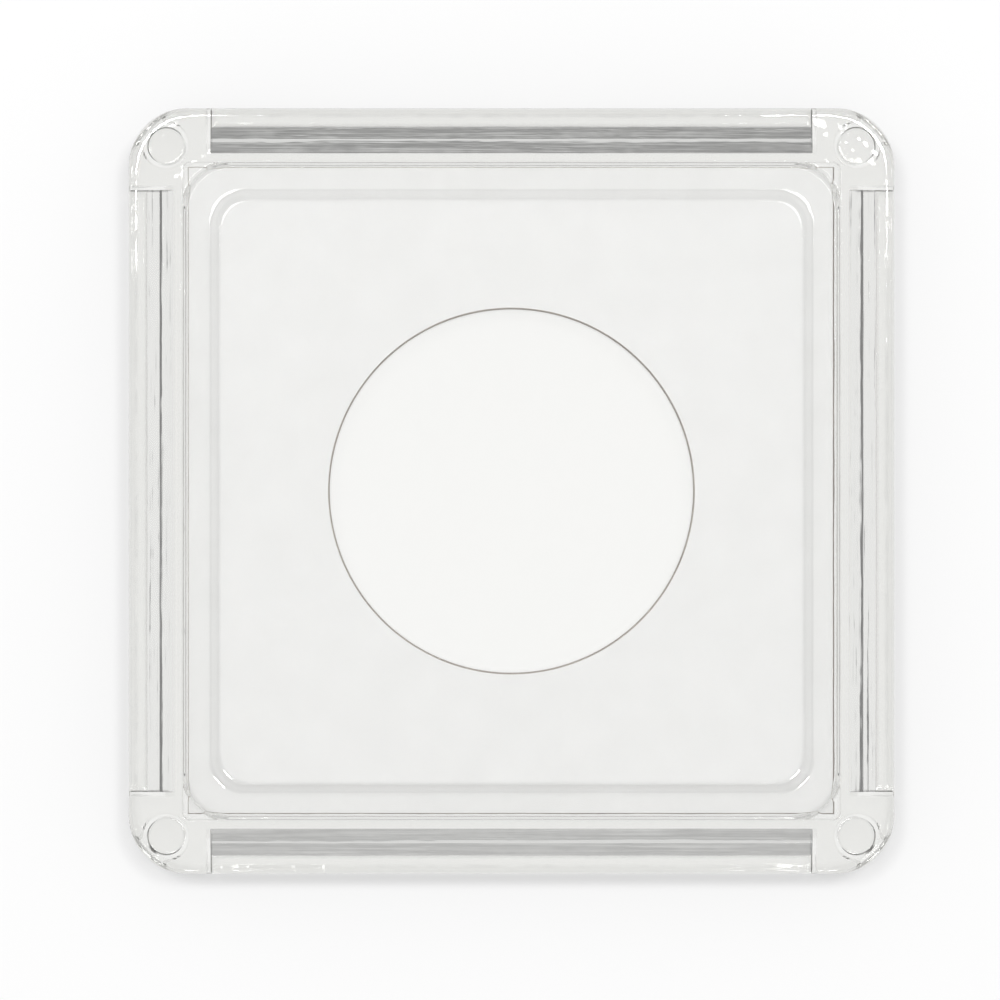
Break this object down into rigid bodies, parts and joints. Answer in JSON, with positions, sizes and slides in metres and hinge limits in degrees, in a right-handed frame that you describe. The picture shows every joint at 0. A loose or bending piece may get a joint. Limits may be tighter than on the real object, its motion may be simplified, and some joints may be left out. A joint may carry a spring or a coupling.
{
  "type": "snap-lock coin holder",
  "caption": "Clear square coin holder: two rigid shells with corner pins and side rails close over a white insert with a round coin hole.",
  "frame": {"origin": "centre of the back rim's plane, which the holder lies on", "axes": "+Z out of the back shell through the front window, +X and +Y along the square's sides"},
  "size_m": [0.0508, 0.0508, 0.0055],
  "materials": {
    "clear_plastic": "clear moulded polystyrene, polished",
    "white_board": "smooth white faces, warm grey cut edges"
  },
  "bodies": {
    "back": {"back_shell": "clear_plastic"},
    "cover": {"front_shell": "clear_plastic"},
    "insert": {"coin_insert": "white_board"}
  },
  "joints": [
    {"name": "cover_lift", "type": "slide", "parent": "back", "child": "cover", "axis": [0, 0, 1], "range_m": [0, 0.02]},
    {"name": "insert_lift", "type": "slide", "parent": "back", "child": "insert", "axis": [0, 0, 1], "range_m": [0, 0.01]}
  ],
  "couplings": [
    {"joint": "insert_lift", "follows": "cover_lift", "ratio": 0.5}
  ]
}
